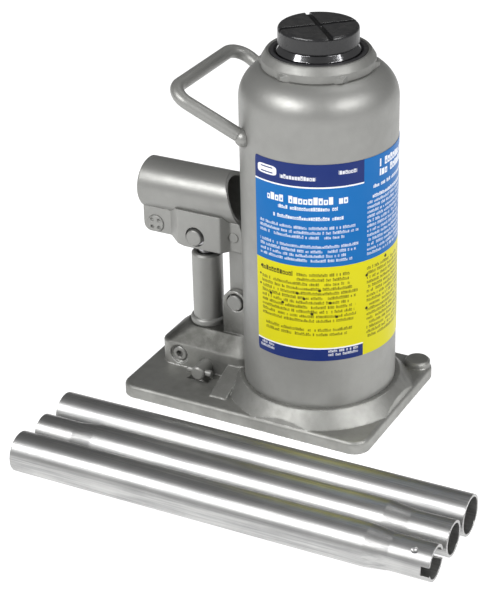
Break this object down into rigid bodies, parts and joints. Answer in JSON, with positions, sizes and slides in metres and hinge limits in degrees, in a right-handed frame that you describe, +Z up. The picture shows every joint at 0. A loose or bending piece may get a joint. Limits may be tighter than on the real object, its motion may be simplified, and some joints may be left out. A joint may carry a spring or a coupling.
{
  "type": "hydraulic bottle jack",
  "caption": "Hydraulic bottle jack with ram and screw extension, hand pump with lever socket, release valve, carrying handle and sectional pump handle.",
  "frame": {"origin": "on the floor under the ram axis, at the underside of the base", "axes": "+Z up along the ram, pump and lever towards -X, release valve facing -Y"},
  "size_m": [0.2604, 0.2214, 0.242],
  "materials": {
    "painted_steel": "satin grey enamel over steel and cast iron",
    "black_steel": "black oxide and black enamel",
    "polished_steel": "ground and polished",
    "zinc_steel": "bright zinc plate over drawn tube",
    "machined_steel": "turned, oiled",
    "black_rubber": "moulded nitrile rubber",
    "gasket": "soft copper washer",
    "label_film": "printed vinyl film",
    "polyurethane": "cast polyurethane seal"
  },
  "bodies": {
    "jack_base": {"base_casting": "painted_steel", "reservoir_casing": "painted_steel", "tank_gasket": "black_rubber", "label": "label_film", "hydraulic_cylinder": "machined_steel", "cylinder_gasket": "gasket", "head_nut": "painted_steel", "wiper_seal": "black_rubber", "carry_handle": "painted_steel", "carry_handle_welds": "painted_steel", "pump_cylinder": "painted_steel", "pump_gasket": "gasket", "link_foot_pin": "painted_steel", "suction_strainer": "machined_steel", "suction_ball": "polished_steel", "delivery_ball": "polished_steel", "delivery_spring": "machined_steel", "delivery_plug": "machined_steel", "overload_ball": "polished_steel", "overload_spring": "machined_steel", "overload_screw": "painted_steel", "release_ball": "polished_steel"},
    "release": {"release_valve": "painted_steel", "release_seal": "black_rubber", "release_cross_pin": "painted_steel"},
    "lift_ram": {"ram": "polished_steel", "ram_seal": "polyurethane", "ram_guide_band": "polyurethane"},
    "screw_carrier": {"screw_stop_washer": "machined_steel"},
    "screw_and_saddle": {"extension_screw": "machined_steel", "saddle": "black_steel"},
    "plunger": {"pump_plunger": "machined_steel", "plunger_seal": "polyurethane", "plunger_pin": "painted_steel"},
    "lever": {"lever_socket": "painted_steel", "socket_plate_front": "painted_steel", "socket_plate_back": "painted_steel", "socket_rivet": "painted_steel", "link_head_pin": "painted_steel"},
    "link": {"link_bar": "painted_steel"},
    "filler": {"filler_plug": "black_rubber"},
    "handle_back": {"handle_section_back": "zinc_steel"},
    "handle_middle": {"handle_section_middle": "zinc_steel"},
    "handle_front": {"handle_section_front": "zinc_steel"}
  },
  "joints": [
    {"name": "ram_lift", "type": "slide", "parent": "jack_base", "child": "lift_ram", "axis": [0, 0, 1], "range_m": [0, 0.15]},
    {"name": "screw_rise", "type": "slide", "parent": "lift_ram", "child": "screw_carrier", "axis": [0, 0, 1], "range_m": [0, 0.0701]},
    {"name": "screw_turn", "type": "hinge", "parent": "screw_carrier", "child": "screw_and_saddle", "pos_m": [0, 0, 0.231], "axis": [0, 0, 1], "range_deg": [0, 6300]},
    {"name": "plunger_stroke", "type": "slide", "parent": "jack_base", "child": "plunger", "axis": [0, 0, 1], "range_m": [-0.0052, 0.0078]},
    {"name": "lever_swing", "type": "hinge", "parent": "plunger", "child": "lever", "pos_m": [-0.0775, 0, 0.0985], "axis": [0, 1, 0], "range_deg": [-12, 18]},
    {"name": "link_swing", "type": "hinge", "parent": "lever", "child": "link", "pos_m": [-0.053, 0, 0.101], "axis": [0, 1, 0], "range_deg": [-18.1, 12.1]},
    {"name": "release_turn", "type": "hinge", "parent": "jack_base", "child": "release", "pos_m": [-0.0695, -0.02, 0.013], "axis": [0, -1, 0], "range_deg": [0, 540]},
    {"name": "filler_pull", "type": "slide", "parent": "jack_base", "child": "filler", "axis": [-0.1736, 0.9848, 0], "range_m": [0, 0.02]},
    {"name": "handle_back_lift", "type": "slide", "parent": "jack_base", "child": "handle_back", "axis": [0, 0, 1], "range_m": [0, 0.12]},
    {"name": "handle_middle_lift", "type": "slide", "parent": "jack_base", "child": "handle_middle", "axis": [0, 0, 1], "range_m": [0, 0.12]},
    {"name": "handle_front_lift", "type": "slide", "parent": "jack_base", "child": "handle_front", "axis": [0, 0, 1], "range_m": [0, 0.12]}
  ],
  "couplings": [
    {"joint": "screw_rise", "follows": "screw_turn", "m_per_rad": 0.00063662},
    {"joint": "plunger_stroke", "follows": "lever_swing", "m_per_rad": 0.02432},
    {"joint": "link_swing", "follows": "lever_swing", "ratio": -1}
  ]
}
